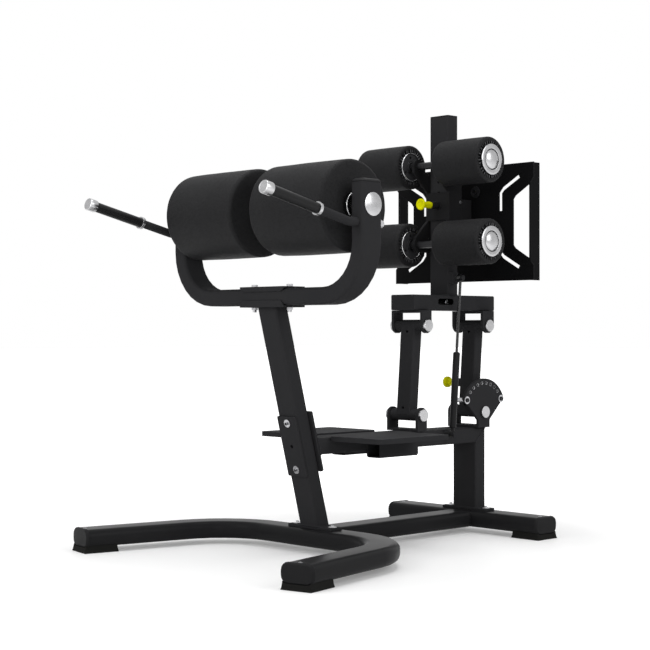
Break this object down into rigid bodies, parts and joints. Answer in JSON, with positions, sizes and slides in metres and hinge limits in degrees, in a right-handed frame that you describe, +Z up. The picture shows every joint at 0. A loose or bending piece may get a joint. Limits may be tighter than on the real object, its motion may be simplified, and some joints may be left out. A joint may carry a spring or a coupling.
{
  "type": "glute ham developer",
  "caption": "Floor-standing glute ham developer: padded thigh rollers in a yoke with handles, and a foot plate with ankle rollers on a mast that swings on parallel links.",
  "frame": {"origin": "on the floor, on the centre plane, under the middle of the overall length", "axes": "+X from the handles toward the foot plate, +Y to the side away from the sector plate and gas spring, +Z up"},
  "size_m": [1.3749, 1.0614, 1.3733],
  "materials": {
    "powder_coat": "matte black powder coat",
    "gloss_coat": "satin black powder coat",
    "upholstery": "matte synthetic leather over foam",
    "rubber": "matte",
    "plastic": "semi-matte moulded",
    "chrome": "bright",
    "yellow_plastic": "bright yellow"
  },
  "bodies": {
    "frame": {"front_base_tube": "gloss_coat", "main_base_tube": "gloss_coat", "rear_base_tube": "gloss_coat", "front_end_cap_near": "plastic", "front_end_cap_far": "plastic", "rear_end_cap_near": "plastic", "rear_end_cap_far": "plastic", "front_foot_near": "rubber", "front_foot_far": "rubber", "rear_foot_near": "rubber", "rear_foot_far": "rubber", "column": "powder_coat", "column_back_plate": "powder_coat", "mid_beam": "powder_coat", "rear_post": "powder_coat", "platform_near": "powder_coat", "platform_far": "powder_coat", "yoke": "powder_coat", "clamp_lower": "powder_coat", "clamp_upper": "powder_coat", "clamp_bolt_near": "chrome", "clamp_bolt_far": "chrome", "yoke_plug_near": "plastic", "yoke_plug_far": "plastic", "thigh_axle": "chrome", "handle_bar_near": "powder_coat", "handle_bar_far": "powder_coat", "handle_grip_near": "rubber", "handle_grip_far": "rubber", "handle_collar_near": "chrome", "handle_collar_far": "chrome", "handle_cap_near": "chrome", "handle_cap_far": "chrome", "front_lower_clevis": "powder_coat", "rear_lower_clevis": "powder_coat", "front_lower_pivot": "chrome", "rear_lower_pivot": "chrome"},
    "thigh_roller_near": {"thigh_roller_near": "upholstery"},
    "thigh_roller_far": {"thigh_roller_far": "upholstery"},
    "rear_link": {"rear_link": "powder_coat"},
    "front_link": {"front_link": "powder_coat"},
    "carriage": {"upper_beam": "powder_coat", "mast": "powder_coat", "mast_cap": "plastic", "front_upper_clevis": "powder_coat", "rear_upper_clevis": "powder_coat", "front_upper_pivot": "chrome", "rear_upper_pivot": "chrome"},
    "sleeve": {"sleeve": "gloss_coat", "foot_plate": "powder_coat", "upper_ankle_axle": "chrome", "lower_ankle_axle": "chrome"},
    "upper_ankle_roller_near": {"upper_ankle_roller_near": "upholstery"},
    "upper_ankle_roller_far": {"upper_ankle_roller_far": "upholstery"},
    "lower_ankle_roller_near": {"lower_ankle_roller_near": "upholstery"},
    "lower_ankle_roller_far": {"lower_ankle_roller_far": "upholstery"},
    "height_pull_pin": {"height_pull_pin": "yellow_plastic"},
    "swing_pull_pin": {"swing_pull_pin": "yellow_plastic"},
    "gas_spring_cylinder": {"gas_spring_cylinder": "powder_coat"},
    "gas_spring_rod": {"gas_spring_rod": "plastic"}
  },
  "joints": [
    {"name": "thigh_roller_near_spin", "type": "hinge", "parent": "frame", "child": "thigh_roller_near", "pos_m": [-0.303, -0.191, 1.0175], "axis": [0, 1, 0], "continuous": true},
    {"name": "thigh_roller_far_spin", "type": "hinge", "parent": "frame", "child": "thigh_roller_far", "pos_m": [-0.303, 0.191, 1.0175], "axis": [0, 1, 0], "continuous": true},
    {"name": "swing", "type": "hinge", "parent": "frame", "child": "rear_link", "pos_m": [0.584, 0, 0.398], "axis": [0, 1, 0], "range_deg": [-52.4, 39.3]},
    {"name": "front_link_swing", "type": "hinge", "parent": "frame", "child": "front_link", "pos_m": [0.28, 0, 0.398], "axis": [0, 1, 0], "range_deg": [-52.4, 39.3]},
    {"name": "carriage_level", "type": "hinge", "parent": "rear_link", "child": "carriage", "pos_m": [0.60599, 0, 0.68446], "axis": [0, 1, 0], "range_deg": [-39.3, 52.4]},
    {"name": "gas_cylinder_swing", "type": "hinge", "parent": "frame", "child": "gas_spring_cylinder", "pos_m": [0.41, -0.08, 0.334], "axis": [0, 1, 0], "range_deg": [-29.9, 22.5]},
    {"name": "gas_rod_swing", "type": "hinge", "parent": "carriage", "child": "gas_spring_rod", "pos_m": [0.4505, -0.08, 0.84], "axis": [0, 1, 0], "range_deg": [-29.9, 22.5]},
    {"name": "sleeve_height", "type": "slide", "parent": "carriage", "child": "sleeve", "axis": [0, 0, 1], "range_m": [-0.04, 0.16]},
    {"name": "upper_ankle_roller_near_spin", "type": "hinge", "parent": "sleeve", "child": "upper_ankle_roller_near", "pos_m": [0.383, -0.1685, 1.206], "axis": [0, 1, 0], "continuous": true},
    {"name": "upper_ankle_roller_far_spin", "type": "hinge", "parent": "sleeve", "child": "upper_ankle_roller_far", "pos_m": [0.383, 0.1685, 1.206], "axis": [0, 1, 0], "continuous": true},
    {"name": "lower_ankle_roller_near_spin", "type": "hinge", "parent": "sleeve", "child": "lower_ankle_roller_near", "pos_m": [0.383, -0.1685, 0.949], "axis": [0, 1, 0], "continuous": true},
    {"name": "lower_ankle_roller_far_spin", "type": "hinge", "parent": "sleeve", "child": "lower_ankle_roller_far", "pos_m": [0.383, 0.1685, 0.949], "axis": [0, 1, 0], "continuous": true},
    {"name": "height_pull_pin_slide", "type": "slide", "parent": "sleeve", "child": "height_pull_pin", "axis": [-1, 0, 0], "range_m": [0, 0.012], "stiffness_N_per_m": 1500, "springref_m": -0.006},
    {"name": "swing_pull_pin_slide", "type": "slide", "parent": "rear_link", "child": "swing_pull_pin", "axis": [0, 1, 0], "range_m": [0, 0.012], "stiffness_N_per_m": 1500, "springref_m": -0.006}
  ],
  "couplings": [
    {"joint": "front_link_swing", "follows": "swing", "ratio": 1},
    {"joint": "carriage_level", "follows": "swing", "ratio": -1},
    {"joint": "gas_cylinder_swing", "follows": "swing", "ratio": 0.57},
    {"joint": "gas_rod_swing", "follows": "swing", "ratio": 0.57}
  ]
}
